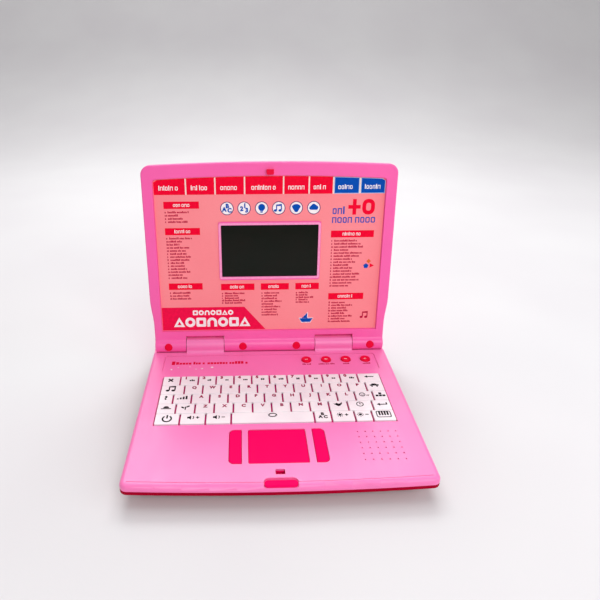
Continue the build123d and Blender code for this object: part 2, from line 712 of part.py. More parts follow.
def lid_hook():
    """A red tongue with a barb, held by a flange inside the bezel."""
    s0, s1 = HOOK_S
    tongue = block(-HOOK_HALF, HOOK_HALF, s0, s1, 2.0, HOOK_TIP)
    barb = block(-3.3, 3.3, s0 - 0.9, s0 + 0.5, HOOK_TIP - 0.7, HOOK_TIP)
    return tongue + barb + block(-6, 6, s0, s1 + 2, 1.6, LID_FRONT - WALL)


def screw_plugs():
    """Red caps over the barrel screws."""
    plugs = []
    for x in PLUG_XS:
        plug = post(x, BARREL_SCREW_S, PLUG_RADIUS, PLUG_SINK, BARREL_RADIUS - 0.2)
        plugs.append(fillet(plug.edges().group_by(Axis.Z)[-1], 0.7).solid())
    return Compound(plugs)


def lid_screws():
    """Screws that pull the barrel's halves together."""
    screws = []
    for x in PLUG_XS:
        head = post(x, BARREL_SCREW_S, 2.9, BARREL_SCREW_HEAD, PLUG_SINK - 0.4)
        screws.append((head + post(x, BARREL_SCREW_S, SCREW_RADIUS, -5.8, BARREL_SCREW_HEAD + 0.5)).solid())
    return Compound(screws)


def lid_cable():
    """Runs on the hinge's own axis out of the base, then up to the display board."""
    r, rise = CABLE_RADIUS, -0.3
    level = axle(CABLE_HANDOVER + 0.4, CABLE_X, r)
    elbow = Pos(CABLE_X, 0, rise) * Sphere(r)
    end = SCREEN_S - 35 + 0.5
    upright = Pos(CABLE_X, end / 2, rise) * Rot(X=90) * Cylinder(r, end)
    return level + elbow + upright


def base_cable():
    """Runs from the main board to the hinge's axis inside the left knuckle."""
    r, x, low, front_y = CABLE_RADIUS, CABLE_DROP_X, CABLE_RUN_Z, CABLE_BOARD_Y
    stub = Pos(0, HINGE_Y, HINGE_Z) * axle(x, CABLE_HANDOVER, r)
    down = post(x, HINGE_Y, r, low, HINGE_Z) + Pos(x, HINGE_Y, HINGE_Z) * Sphere(r)
    run = Pos(x, (HINGE_Y + front_y) / 2, low) * Rot(X=90) * Cylinder(r, HINGE_Y - front_y)
    corners = Pos(x, HINGE_Y, low) * Sphere(r) + Pos(x, front_y, low) * Sphere(r)
    return stub + down + run + corners + post(x, front_y, r, BOARD_TOP, low)


def hinge_part(shape):
    """Moves a piece drawn about the X axis to the hinge's axis."""
    return Pos(0, HINGE_Y, HINGE_Z) * shape


def hinge_pin_left():
    outer = KNUCKLE_OUTER + HINGE_GAP + PIN_GRIP
    return hinge_part(axle(-outer, -KNUCKLE_OUTER + 12, PIN_RADIUS))


def hinge_pin_right():
    inner = KNUCKLE_INNER - HINGE_GAP - PIN_GRIP
    outer = KNUCKLE_OUTER + HINGE_GAP + PIN_GRIP
    return hinge_part(axle(inner, outer, PIN_RADIUS))


def hinge_bush():
    """A hollow pin on the left, with the cable running through it."""
    inner = KNUCKLE_INNER - HINGE_GAP - PIN_GRIP
    ends = (-KNUCKLE_INNER - 12, -inner)
    return hinge_part(axle(*ends, BUSH_RADIUS) - axle(*ends, 1.6))


BASE_PARTS = (
    base_top_shell,
    base_bottom_shell,
    key_frame,
    keypad_membrane,
    main_board,
    touch_pad,
    button_pads,
    speaker,
    speaker_ring,
    batteries,
    battery_contacts,
    battery_door,
    battery_door_screw,
    latch_button,
    latch_spring,
    mouse_socket,
    base_screws,
    rubber_feet,
    base_cable,
    hinge_pin_left,
    hinge_pin_right,
    hinge_bush,
)

LID_PARTS = (
    lid_front_shell,
    lid_back_shell,
    activity_sheet,
    screen_window,
    display_module,
    display_board,
    lid_hook,
    screw_plugs,
    lid_screws,
    lid_cable,
)


def assembly():
    """Every node's name and shape, in the row's frame."""
    nodes = {make.__name__: make() for make in BASE_PARTS}
    nodes |= key_nodes()
    for number, x in enumerate(BUTTON_XS, 1):
        nodes[f"round_button_{number}"] = round_button(x)
    nodes["left_click_button"] = click_button(-1)
    nodes["right_click_button"] = click_button(1)
    nodes |= {make.__name__: LID_PLACE * make() for make in LID_PARTS}
    return {name: TO_ROW * shape for name, shape in nodes.items()}


def main():
    os.makedirs("parts", exist_ok=True)
    for name, shape in assembly().items():
        export_step(shape, f"parts/{name}.step")


if __name__ == "__main__":
    main()
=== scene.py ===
"""Looks of the toy laptop computer: its materials, its printing, and the studio round it.

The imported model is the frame. Printing is built as ink a few hundredths of a millimetre thick, drawn in
the millimetres of the surface that it lies on, and it rides on the body of that surface.
"""

import json
import math
import random

import bmesh
import bpy
from mathutils import Matrix, Vector


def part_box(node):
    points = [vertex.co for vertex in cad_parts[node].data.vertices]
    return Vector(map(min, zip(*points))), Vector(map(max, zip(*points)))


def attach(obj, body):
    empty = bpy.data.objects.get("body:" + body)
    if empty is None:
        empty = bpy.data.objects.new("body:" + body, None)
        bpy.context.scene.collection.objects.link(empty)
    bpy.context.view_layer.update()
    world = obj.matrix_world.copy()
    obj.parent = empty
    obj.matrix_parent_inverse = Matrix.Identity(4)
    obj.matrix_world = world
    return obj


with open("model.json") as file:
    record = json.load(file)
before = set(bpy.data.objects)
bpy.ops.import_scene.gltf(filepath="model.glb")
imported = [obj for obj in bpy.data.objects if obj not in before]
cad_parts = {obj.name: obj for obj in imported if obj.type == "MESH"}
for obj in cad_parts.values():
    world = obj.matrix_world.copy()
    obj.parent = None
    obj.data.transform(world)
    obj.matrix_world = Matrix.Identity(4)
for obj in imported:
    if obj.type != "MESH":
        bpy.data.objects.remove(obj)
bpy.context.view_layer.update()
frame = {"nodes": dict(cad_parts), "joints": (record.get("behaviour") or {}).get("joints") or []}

MM = 0.001

# Camera and studio, in metres and degrees
CAMERA_PLACE = (-0.0285, -0.4397, 0.3569)
CAMERA_TURN = (62.74, 0.06, -1.57)
CAMERA_LENS = 31.68
CAMERA_SHIFT = (0.0715, 0.0033)

# Soft light all round
WORLD_COLOUR = (1, 0.98, 0.99, 1)
WORLD_STRENGTH = 0.42

# Features of the CAD model that the looks are fitted to, in millimetres
PAD_FLANGE_Y = 15.4
DECK_ABOVE_PAD = 0.5
PANEL_DEPTH = 0.4
SHEET_TOP_SAG = 3.4
SHEET_CORNER = 4.0
FRAME_RISE = 0.8
FRAME_BORDER = 2.8
KNUCKLE_ENDS = (52.5, 96.5)

# Painted-shade strips over the knuckles, in millimetres of the lid's frame
LIP_LOW = 9.35
LIP_WIDTH = 1.4
LIP_DEPTHS = (-1.8, -0.3)

# Printing, in millimetres
INK_ROOT = 0.02
INK = 0.04
UPPER_INK = 0.07
TOP_INK = 0.10
DISH_INK = (-0.5, -0.75)
ARC_STEPS = 20

# Mock print, in shares of its height
STROKE_SHARE = 0.18
LETTER_WIDTHS = (0.52, 0.64)
BAR_LETTER_WIDTH = 0.2
LOW_LETTER = 0.78
LETTER_GAP = 0.14
FINE_WIDTHS = (0.4, 0.62)
FINE_HEIGHTS = (0.72, 0.72, 0.8, 1.0)
FINE_GAP = 0.12
WORD_GAP = 0.3
LINE_END = 0.4

# Real letters and digits, in shares of their height
FONT_CAP_SHARE = 0.7
FONT_WEIGHT = 0.09

# Keyboard, in millimetres and key units
KEY_GAP = 1.7
LAST_CAP_UNITS = 1.3
LETTER_HEIGHT = 3.9
DIGIT_HEIGHT = 4.1
KEY_PICTURE_SCALE = 1.2


# ---------------------------------------------------------------- places


def upright(point):
    """The frame of a level surface whose origin is at a point."""
    return Matrix.Translation(point)


def local_box(node, place):
    """Lowest and highest corner of a CAD node in the millimetres of another frame."""
    to_local = place.inverted()
    points = [to_local @ v.co / MM for v in frame["nodes"][node].data.vertices]
    low = Vector(min(p[axis] for p in points) for axis in range(3))
    high = Vector(max(p[axis] for p in points) for axis in range(3))
    return low, high


def lid_place():
    """The lid's frame: X along the hinge, Y up the lid, Z out of the printed side."""
    hinge = next(j for j in frame["joints"] if j["name"] == "lid_hinge")
    lean = math.radians(180 - hinge["range_deg"][1])
    return upright(hinge["pos_m"]) @ Matrix.Rotation(lean, 4, "X")


def deck_place():
    """The deck's frame: origin in the middle of its front edge, Y to the rear, Z up."""
    low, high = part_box("touch_pad")
    return upright((0, low.y - PAD_FLANGE_Y * MM, high.z + DECK_ABOVE_PAD * MM))


LID = lid_place()
SHEET_HIGH = local_box("activity_sheet", LID)[1]
DECK = deck_place()


# ---------------------------------------------------------------- flat shapes


def prism(bm, outline, low, high):
    """A closed slab with the given outline, between two heights."""
    bottom = [bm.verts.new((x, y, low)) for x, y in outline]
    top = [bm.verts.new((x, y, high)) for x, y in outline]
    bm.faces.new(list(reversed(bottom)))
    bm.faces.new(top)
    join_loops(bm, bottom, top)


def join_loops(bm, lower, upper):
    """Side faces between two loops of as many vertices."""
    for number, vert in enumerate(lower):
        follower = (number + 1) % len(lower)
        bm.faces.new((vert, lower[follower], upper[follower], upper[number]))


def frame_slab(bm, outer, inner, low, high):
    """A closed slab between an outline and a smaller one inside it, of as many points."""
    loops = [[bm.verts.new((x, y, z)) for x, y in loop] for loop in (outer, inner) for z in (low, high)]
    outer_low, outer_high, inner_low, inner_high = loops
    join_loops(bm, outer_low, outer_high)
    join_loops(bm, inner_high, inner_low)
    join_loops(bm, outer_high, inner_high)
    join_loops(bm, inner_low, outer_low)


def arc(x, y, radius, start=0.0, end=360.0, steps=ARC_STEPS, flat=1.0):
    """Points on an arc. A whole turn leaves out the last point, which would repeat the first."""
    whole = abs(end - start) >= 360
    count = steps if whole else steps + 1
    angles = [math.radians(start + (end - start) * n / steps) for n in range(count)]
    return [(x + radius * math.cos(a), y + flat * radius * math.sin(a)) for a in angles]


def rounded(x0, x1, y0, y1, corner):
    """Outline of a rectangle with round corners."""
    centres = ((x1 - corner, y1 - corner, 0), (x0 + corner, y1 - corner, 90))
    centres += ((x0 + corner, y0 + corner, 180), (x1 - corner, y0 + corner, 270))
    return [p for x, y, turn in centres for p in arc(x, y, corner, turn, turn + 90, 4)]


def plain_box(x0, x1, y0, y1):
    """Outline of a rectangle with sharp corners."""
    return [(x0, y0), (x1, y0), (x1, y1), (x0, y1)]


def plus_outline(side, reach, half):
    """Outline of a plus about the origin, from its arms' lengths and half their width."""
    lower = [(-side, -half), (-half, -half), (-half, -reach), (half, -reach), (half, -half), (side, -half)]
    return lower + [(-x, -y) for x, y in lower]


def moved(points, x, y, scale=1.0):
    """An outline drawn about the origin, put in its place."""
    return [(x + px * scale, y + py * scale) for px, py in points]


def stroke(bm, points, width, low, high):
    """A slab that follows a line of points, mitred at its corners."""
    line = [Vector(p) for p in points]
    left, right = [], []
    for number, here in enumerate(line):
        before = line[max(number - 1, 0)]
        after = line[min(number + 1, len(line) - 1)]
        along_in = (here - before).normalized() if number else (after - here).normalized()
        along_out = (after - here).normalized() if number < len(line) - 1 else along_in
        across = Vector((-(along_in + along_out).y, (along_in + along_out).x)).normalized()
        reach = width / 2 / max(across.dot(Vector((-along_in.y, along_in.x))), 0.4)
        left.append(tuple(here + across * reach))
        right.append(tuple(here - across * reach))
    prism(bm, right + list(reversed(left)), low, high)


def letters(bm, text, x, y, height, low, high):
    """Plain bold letters or digits, centred on a point."""
    curve = bpy.data.curves.new("letters", "FONT")
    curve.body = text
    curve.size = height / FONT_CAP_SHARE
    curve.align_x = "CENTER"
    curve.align_y = "CENTER"
    curve.offset = FONT_WEIGHT * height
    curve.resolution_u = 3
    curve.extrude = (high - low) / 2
    holder = bpy.data.objects.new("letters", curve)
    bpy.context.scene.collection.objects.link(holder)
    mesh = bpy.data.meshes.new_from_object(holder.evaluated_get(bpy.context.evaluated_depsgraph_get()))
    mesh.transform(Matrix.Translation((x, y, (low + high) / 2)))
    bm.from_mesh(mesh)
    bpy.data.objects.remove(holder)
    bpy.data.curves.remove(curve)
    bpy.data.meshes.remove(mesh)


def mock_letter(bm, x, y, wide, tall, kind, low, high):
    """One letter-like shape that is no letter: a loop, an arch or a bar."""
    thick = tall * STROKE_SHARE
    if kind == "loop":
        corner = wide * 0.3
        outer = rounded(x, x + wide, y, y + tall, corner)
        inner = rounded(x + thick, x + wide - thick, y + thick, y + tall - thick, corner * 0.5)
        frame_slab(bm, outer, inner, low, high)
    elif kind == "arch":
        top = y + tall
        outline = [(x, y), (x + thick, y), (x + thick, top - thick), (x + wide - thick, top - thick)]
        outline += [(x + wide - thick, y), (x + wide, y), (x + wide, top), (x, top)]
        prism(bm, outline, low, high)
    else:
        prism(bm, plain_box(x, x + wide, y, y + tall), low, high)


def mock_words(bm, x, y, width, height, draw, low, high):
    """A run of letter-like shapes that looks like a line of print and spells nothing."""
    end = x + width
    while x < end - height * LINE_END:
        for _ in range(draw.randint(3, 7)):
            kind = draw.choice(("loop", "loop", "arch", "arch", "bar"))
            wide = height * (draw.uniform(*LETTER_WIDTHS) if kind != "bar" else BAR_LETTER_WIDTH)
            tall = height * (1.0 if kind == "bar" else LOW_LETTER)
            if x + wide > end:
                return
            mock_letter(bm, x, y, wide, tall, kind, low, high)
            x += wide + height * LETTER_GAP
        x += height * WORD_GAP


def mock_lines(bm, x, y, width, height, draw, low, high):
    """Fine print: solid marks of uneven width and height, as small type looks from a step away."""
    end = x + width
    while x < end - height * LINE_END:
        for _ in range(draw.randint(3, 8)):
            wide = height * draw.uniform(*FINE_WIDTHS)
            tall = height * draw.choice(FINE_HEIGHTS)
            if x + wide > end:
                return
            prism(bm, plain_box(x, x + wide, y, y + tall), low, high)
            x += wide + height * FINE_GAP
        x += height * WORD_GAP


# ---------------------------------------------------------------- material nodes


def srgb(red, green, blue):
    """A colour as a screen shows it, 0 to 255, in the shader's linear values."""

    def linear(value):
        """One channel on the linear scale."""
        share = value / 255
        return share / 12.92 if share <= 0.04045 else ((share + 0.055) / 1.055) ** 2.4

    return linear(red), linear(green), linear(blue), 1.0


def shade(colour, factor):
    """A colour made darker or lighter."""
    return tuple(min(channel * factor, 1.0) for channel in colour[:3]) + (1.0,)


class Surface:
    """A material under construction: its nodes, its shader and its object coordinates."""

    def __init__(self, name, **settings):
        """Starts a material; settings name the shader's sockets, with _ for a space."""
        self.material = bpy.data.materials.new(name)
        self.material.use_nodes = True
        self.tree = self.material.node_tree
        self.shader = self.tree.nodes["Principled BSDF"]
        self.place = self.add("ShaderNodeTexCoord").outputs["Object"]
        for socket, value in settings.items():
            self.shader.inputs[socket.replace("_", " ")].default_value = value

    def add(self, kind, **links):
        """A new node with some of its inputs set or linked."""
        node = self.tree.nodes.new(kind)
        for socket, value in links.items():
            self.set(node.inputs[socket.replace("_", " ")], value)
        return node

    def set(self, socket, value):
        """Gives a socket a link if the value is an output, or else a constant."""
        if isinstance(value, bpy.types.NodeSocket):
            self.tree.links.new(value, socket)
        else:
            socket.default_value = value

    def noise(self, size, detail=2.0, rough=0.5, stretch=(1, 1, 1)):
        """Noise whose features are about that many metres across."""
        place = self.add("ShaderNodeVectorMath", Vector=self.place)
        place.operation = "MULTIPLY"
        place.inputs[1].default_value = [1 / (size * s) for s in stretch]
        node = self.add("ShaderNodeTexNoise", Vector=place.outputs[0])
        node.inputs["Scale"].default_value = 1.0
        node.inputs["Detail"].default_value = detail
        node.inputs["Roughness"].default_value = rough
        return node.outputs["Fac"]

    def cells(self, size, feature="F1"):
        """Distance in a cell pattern whose cells are about that many metres across."""
        node = self.add("ShaderNodeTexVoronoi", Vector=self.place)
        node.feature = feature
        node.inputs["Scale"].default_value = 1 / size
        return node.outputs["Distance"]

    def span(self, value, low, high, out_low, out_high):
        """A value's range mapped to another range."""
        node = self.add("ShaderNodeMapRange", Value=value)
        limits = {"From Min": low, "From Max": high, "To Min": out_low, "To Max": out_high}
        for socket, limit in limits.items():
            node.inputs[socket].default_value = limit
        return node.outputs["Result"]

    def drift(self, size, out_low, out_high, detail=2.0, stretch=(1, 1, 1)):
        """A value that wanders between two limits, over about that many metres."""
        return self.span(self.noise(size, detail, stretch=stretch), 0.3, 0.7, out_low, out_high)

    def blend(self, factor, first, second):
        """One colour turning into another by a factor."""
        node = self.tree.nodes.new("ShaderNodeMix")
        node.data_type = "RGBA"
        self.set(node.inputs["Factor"], factor)
        self.set(node.inputs["A"], first)
        self.set(node.inputs["B"], second)
        return [out for out in node.outputs if out.type == "RGBA"][0]

    def math(self, operation, first, second):
        """The result of a sum on two values."""
        node = self.tree.nodes.new("ShaderNodeMath")
        node.operation = operation
        self.set(node.inputs[0], first)
        self.set(node.inputs[1], second)
        return node.outputs[0]

    def edges(self, radius):
        """1 on edges and corners, 0 on flat faces, with edges about that many metres wide."""
        round_normal = self.add("ShaderNodeBevel", Radius=radius)
        round_normal.samples = 4
        true_normal = self.add("ShaderNodeNewGeometry").outputs["Normal"]
        dot = self.add("ShaderNodeVectorMath", Vector=round_normal.outputs[0])
        dot.operation = "DOT_PRODUCT"
        self.tree.links.new(true_normal, dot.inputs[1])
        return self.span(dot.outputs["Value"], 0.99, 0.8, 0.0, 1.0)

    def bump(self, height, depth, base=None):
        """A bump of that many metres, on top of another one if given."""
        node = self.add("ShaderNodeBump", Height=height)
        node.inputs["Distance"].default_value = depth
        if base is not None:
            self.tree.links.new(base, node.inputs["Normal"])
        return node.outputs["Normal"]

    def finish(self, colour, roughness, normal):
        """Links the shader's inputs and gives the material."""
        for socket, value in (("Base Color", colour), ("Roughness", roughness), ("Normal", normal)):
            self.set(self.shader.inputs[socket], value)
        return self.material


# ---------------------------------------------------------------- materials


def moulded(name, colour, roughness, grain=0.000005, wear=0.12, gloss=0.5):
    """Injection-moulded plastic: fine spark grain, cloudy colour, flow marks and paler rubbed edges.

    A roughness of 0.30, which wanders down to 0.26, leaves patches on the shut lid. 0.33 doesn't.
    """
    surface = Surface(name, IOR=1.5, Specular_IOR_Level=gloss)
    tone = surface.blend(surface.drift(0.05, 0, 1, 3), shade(colour, 0.95), colour)
    speck = surface.span(surface.noise(0.0012, 1), 0.62, 0.8, 0, 0.1)
    tone = surface.blend(speck, tone, shade(colour, 1.08))
    rubbed = surface.math("MULTIPLY", surface.edges(0.0004), surface.noise(0.004, 2))
    pale = tuple(channel + (1 - channel) * 0.35 for channel in colour[:3]) + (1.0,)
    tone = surface.blend(surface.math("MULTIPLY", rubbed, wear), tone, pale)
    rough = surface.drift(0.012, roughness - 0.04, roughness + 0.05, stretch=(1, 3, 1))
    waves = surface.bump(surface.noise(0.03, 1), 0.00006)
    normal = surface.bump(surface.noise(0.0006, 2, 0.6), grain, waves)
    return surface.finish(tone, rough, normal)


def key_plastic(name):
    """Smooth white caps, faintly warm, with a trace of dust along their edges."""
    surface = Surface(name, IOR=1.5, Subsurface_Weight=0.05, Subsurface_Radius=(0.002, 0.0015, 0.0015))
    white = srgb(246, 240, 243)
    tone = surface.blend(surface.drift(0.02, 0, 1), srgb(238, 228, 234), white)
    tone = surface.blend(surface.math("MULTIPLY", surface.edges(0.0003), 0.15), tone, srgb(205, 185, 196))
    rough = surface.drift(0.006, 0.3, 0.42, 3)
    normal = surface.bump(surface.noise(0.0006, 2), 0.000012)
    return surface.finish(tone, rough, normal)


def printed_card(name):
    """Coral card: fine halftone, slow change of tone, and the waviness of a stuck-down film."""
    surface = Surface(name, IOR=1.48, Specular_IOR_Level=0.25)
    coral = srgb(252, 144, 150)
    tone = surface.blend(surface.span(surface.noise(0.09, 2), 0.35, 0.65, 0, 1), srgb(250, 134, 142), coral)
    dots = surface.span(surface.cells(0.0005), 0.0, 0.5, 0.16, 0.0)
    tone = surface.blend(dots, tone, srgb(255, 170, 165))
    fibre = surface.span(surface.noise(0.0008, 4, 0.7, (4, 1, 1)), 0.5, 0.75, 0, 0.12)
    tone = surface.blend(fibre, tone, srgb(225, 90, 100))
    rough = surface.drift(0.02, 0.38, 0.5, 3)
    normal = surface.bump(surface.noise(0.025, 2), 0.00025)
    return surface.finish(tone, rough, surface.bump(surface.noise(0.0004, 3), 0.00001, normal))


def ink(name, colour):
    """Screen-printed ink: slightly uneven cover and a fine stipple."""
    surface = Surface(name, IOR=1.48, Specular_IOR_Level=0.06)
    cover = surface.span(surface.noise(0.003, 3), 0.35, 0.7, 0, 1)
    tone = surface.blend(cover, shade(colour, 0.92), shade(colour, 1.05))
    rough = surface.drift(0.0015, 0.39, 0.51)
    return surface.finish(tone, rough, surface.bump(surface.cells(0.0004), 0.000008))


def smoked_window(name):
    """Glossy smoked plastic over a dark display, with faint smears."""
    surface = Surface(name, IOR=1.49, Specular_IOR_Level=0.14)
    patch = surface.drift(0.03, 0, 1)
    tone = surface.blend(patch, srgb(14, 20, 13), srgb(20, 20, 14))
    smear = surface.noise(0.01, 3, stretch=(3, 1, 1))
    rough = surface.span(smear, 0.4, 0.75, 0.12, 0.26)
    return surface.finish(tone, rough, surface.bump(surface.noise(0.05, 1), 0.0001))


def display_glass(name):
    """The display behind the window: a fine grid of dark segments."""
    surface = Surface(name, IOR=1.5)
    grid = surface.span(surface.cells(0.0008), 0.1, 0.4, 0, 1)
    tone = surface.blend(grid, srgb(60, 66, 52), srgb(40, 46, 38))
    rough = surface.drift(0.01, 0.15, 0.25)
    return surface.finish(tone, rough, surface.bump(grid, 0.00001))


def circuit_board(name):
    """Green solder mask over copper tracks."""
    surface = Surface(name, IOR=1.5)
    tracks = surface.span(surface.cells(0.004, "DISTANCE_TO_EDGE"), 0.02, 0.05, 1, 0)
    tone = surface.blend(tracks, srgb(18, 92, 48), srgb(60, 140, 70))
    tone = surface.blend(surface.drift(0.02, 0, 0.3), tone, srgb(10, 60, 34))
    rough = surface.drift(0.002, 0.3, 0.45)
    return surface.finish(tone, rough, surface.bump(tracks, 0.00004))


def rubber(name, colour):
    """Matt rubber with a dusty, pitted skin."""
    surface = Surface(name, IOR=1.5, Specular_IOR_Level=0.3)
    dust = surface.span(surface.noise(0.003, 4, 0.65), 0.45, 0.75, 0, 0.4)
    tone = surface.blend(dust, colour, shade(colour, 1.5))
    rough = surface.drift(0.001, 0.7, 0.85)
    return surface.finish(tone, rough, surface.bump(surface.noise(0.0004, 3), 0.00004))


def drawn_steel(name):
    """Plated steel with fine drawing lines and duller patches."""
    surface = Surface(name, Metallic=1.0)
    lines = surface.noise(0.0006, 3, 0.6, (12, 1, 1))
    tone = surface.blend(surface.span(lines, 0.3, 0.7, 0, 1), srgb(168, 168, 172), srgb(214, 214, 218))
    rough = surface.drift(0.004, 0.22, 0.42, 3)
    return surface.finish(tone, rough, surface.bump(lines, 0.00001))


def cell_jacket(name):
    """Shrunk film jacket with a pale band at one end of each cell."""
    surface = Surface(name, IOR=1.5, Coat_Weight=0.3)
    position = surface.add("ShaderNodeSeparateXYZ", Vector=surface.place).outputs["X"]
    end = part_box("batteries")[0].x
    band = surface.span(position, end + 0.034, end + 0.0345, 0, 1)
    tone = surface.blend(band, srgb(28, 60, 130), srgb(205, 208, 214))
    tone = surface.blend(surface.span(surface.noise(0.003), 0.4, 0.8, 0, 0.3), tone, srgb(15, 30, 80))
    rough = surface.drift(0.004, 0.25, 0.38)
    return surface.finish(tone, rough, surface.bump(surface.noise(0.002), 0.00003))


MATERIALS = {
    # The deck is the same pink plastic as the lid. pink_deck is made paler as painted sheen: the wash of
    # the overhead light on the deck.
    "pink_deck": moulded("pink_deck", srgb(250, 122, 186), 0.32),
    "pink_lid": moulded("pink_lid", srgb(252, 96, 174), 0.33),
    "crimson_tray": moulded("crimson_tray", srgb(166, 0, 40), 0.6, grain=0.00001, wear=0.0, gloss=0.02),
    "red_controls": moulded("red_controls", srgb(242, 0, 94), 0.5, wear=0.05, gloss=0.03),
    "red_plastic": moulded("red_plastic", srgb(238, 4, 58), 0.36, gloss=0.1),
    "white_keys": key_plastic("white_keys"),
    "magenta_frame": moulded("magenta_frame", srgb(226, 24, 128), 0.5, grain=0.00001, gloss=0.2),
    "printed_sheet": printed_card("printed_sheet"),
    "screen": smoked_window("screen"),
    "display": display_glass("display"),
    "circuit_board": circuit_board("circuit_board"),
    "rubber_grey": rubber("rubber_grey", srgb(120, 118, 122)),
    "rubber_white": rubber("rubber_white", srgb(215, 212, 208)),
    "steel": drawn_steel("steel"),
    "speaker_black": rubber("speaker_black", srgb(34, 32, 36)),
    "cell_jacket": cell_jacket("cell_jacket"),
    "black_plastic": moulded("black_plastic", srgb(38, 36, 38), 0.42, grain=0.00001),
}
RED_INK = ink("red_ink", srgb(244, 0, 50))
TITLE_INK = ink("title_ink", srgb(226, 12, 60))
BANNER_INK = ink("banner_ink", srgb(240, 14, 74))
DARK_INK = ink("dark_ink", srgb(188, 14, 62))
BLUE_INK = ink("blue_ink", srgb(0, 78, 178))
SKY_INK = ink("sky_ink", srgb(150, 200, 236))
CREAM_INK = ink("cream_ink", srgb(246, 224, 214))
WHITE_INK = ink("white_ink", srgb(250, 244, 244))
RIM_INK = ink("rim_ink", srgb(84, 48, 110))
ORANGE_INK = ink("orange_ink", srgb(232, 110, 40))
# Pale pink ink for the painted highlight on the raised frame round the screen.
FRAME_HIGHLIGHT_INK = ink("frame_highlight_ink", srgb(252, 158, 204))
KEY_RED_INK = ink("key_red_ink", srgb(150, 20, 74))
KEY_BLACK_INK = ink("key_black_ink", srgb(20, 14, 24))
PLAIN_RED_NODES = ["screw_plugs", "lid_hook"] + [f"round_button_{number}" for number in range(1, 5)]


def dress_nodes():
    """Gives each CAD node the material of its slot, or the plainer red of the small caps."""
    for name, node in frame["nodes"].items():
        for number, material in enumerate(node.data.materials):
            slot = "red_plastic" if name in PLAIN_RED_NODES else material.name.split(".")[0]
            node.data.materials[number] = MATERIALS[slot]


# ---------------------------------------------------------------- pieces


def piece(name, bm, place, body, material):
    """Makes an object from flat shapes drawn in a surface's millimetres, and lets it ride."""
    bmesh.ops.remove_doubles(bm, verts=bm.verts, dist=0.0001)
    bmesh.ops.recalc_face_normals(bm, faces=bm.faces)
    mesh = bpy.data.meshes.new(name)
    bm.to_mesh(mesh)
    bm.free()
    mesh.transform(place @ Matrix.Scale(MM, 4))
    mesh.materials.append(material)
    made = bpy.data.objects.new(name, mesh)
    bpy.context.scene.collection.objects.link(made)
    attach(made, body)
    return made


class Layer:
    """One ink on one surface: shapes are added in millimetres, then made into a piece."""

    def __init__(self, height=INK, root=-INK_ROOT):
        """Starts an empty layer between two heights over the surface."""
        self.bm = bmesh.new()
        self.low, self.high = root, height

    def area(self, outline):
        """A filled outline."""
        prism(self.bm, outline, self.low, self.high)

    def box(self, x0, x1, y0, y1, corner=0.3):
        """A rectangle with round corners."""
        self.area(rounded(x0, x1, y0, y1, corner))

    def disc(self, x, y, radius, flat=1.0):
        """A disc, or an oval if flat is less than 1."""
        self.area(arc(x, y, radius, flat=flat))

    def ring(self, x, y, outer, inner):
        """A ring between two radii."""
        frame_slab(self.bm, arc(x, y, outer), arc(x, y, inner), self.low, self.high)

    def line(self, points, width):
        """A line through some points."""
        stroke(self.bm, points, width, self.low, self.high)

    def write(self, text, x, y, height):
        """Real letters or digits."""
        letters(self.bm, text, x, y, height, self.low, self.high)

    def words(self, x, y, width, height, draw):
        """Letter-like shapes, large enough to make out."""
        mock_words(self.bm, x, y, width, height, draw, self.low, self.high)

    def fine_print(self, x, y, width, height, draw):
        """Marks for type too small to make out."""
        mock_lines(self.bm, x, y, width, height, draw, self.low, self.high)

    def grow(self, factor):
        """Everything drawn so far made larger about the origin, at the same height."""
        bmesh.ops.scale(self.bm, vec=(factor, factor, 1), verts=self.bm.verts)

    def make(self, name, place, body, slot, material):
        """Turns the layer into a piece."""
        return piece(name, self.bm, place, body, material)


# ---------------------------------------------------------------- small pictures, about 8 mm across


def notes_icon(layer, x, y, size):
    """Two joined notes."""
    for side in (-1, 1):
        layer.disc(x + (side * 2.2 - 0.9) * size, y - 2.2 * size, 1.5 * size, 0.8)
        left, right = (x + (side * 2.2 + reach) * size for reach in (-0.25, 0.75))
        layer.box(left, right, y - 1.6 * size, y + 2.4 * size, 0.1)
    layer.area(moved([(-2.45, 1.9), (2.95, 1.9), (2.95, 3.8), (-2.45, 3.2)], x, y, size))


def car_icon(layer, x, y):
    """A small car seen from the side."""
    body = [(-4, -0.9), (4, -0.9), (4, 0.6), (2.6, 0.9), (1.2, 2.1), (-1.6, 2.1), (-2.6, 0.8), (-4, 0.4)]
    layer.area(moved(body, x, y))
    for side in (-1, 1):
        layer.disc(x + side * 2.2, y - 1.75, 0.8)


def face_icon(layer, x, y):
    """A smiling face and a wavy line."""
    layer.ring(x - 1.6, y, 3.2, 2.4)
    for side in (-1, 1):
        layer.disc(x - 1.6 + side * 1.0, y + 0.7, 0.55)
    layer.line(arc(x - 1.6, y - 0.1, 1.4, 200, 340, 8), 0.6)
    layer.line([(x + 2.4, y - 2), (x + 3.3, y - 0.8), (x + 4.2, y - 2), (x + 5.1, y - 0.6)], 0.8)


def blocks_icon(layer, x, y):
    """One block on three."""
    for side in (-1, 0, 1):
        layer.box(x + side * 2.9 - 1.25, x + side * 2.9 + 1.25, y - 2.6, y - 0.3)
    layer.box(x - 1.25, x + 1.25, y + 0.1, y + 2.6)


def hat_icon(layer, x, y):
    """A bowler hat."""
    layer.area(arc(x, y - 0.6, 2.5, 0, 180, 12))
    layer.box(x - 4.2, x + 4.2, y - 1.9, y - 0.9, 0.4)


def sprout_icon(layer, x, y):
    """A stem with two leaves."""
    layer.line([(x, y - 3.2), (x + 0.2, y - 1), (x, y + 0.8)], 1.0)
    for side, lift in ((-1, 0.6), (1, 1.8)):
        leaf = [(0.5, 0), (1.6, -0.3), (3.4, 0.9), (3.6, 2.2), (2.0, 2.0), (0.9, 1.0)]
        outline = [(x + side * px, y + lift + py - 1.8) for px, py in leaf]
        layer.area(outline if side > 0 else list(reversed(outline)))


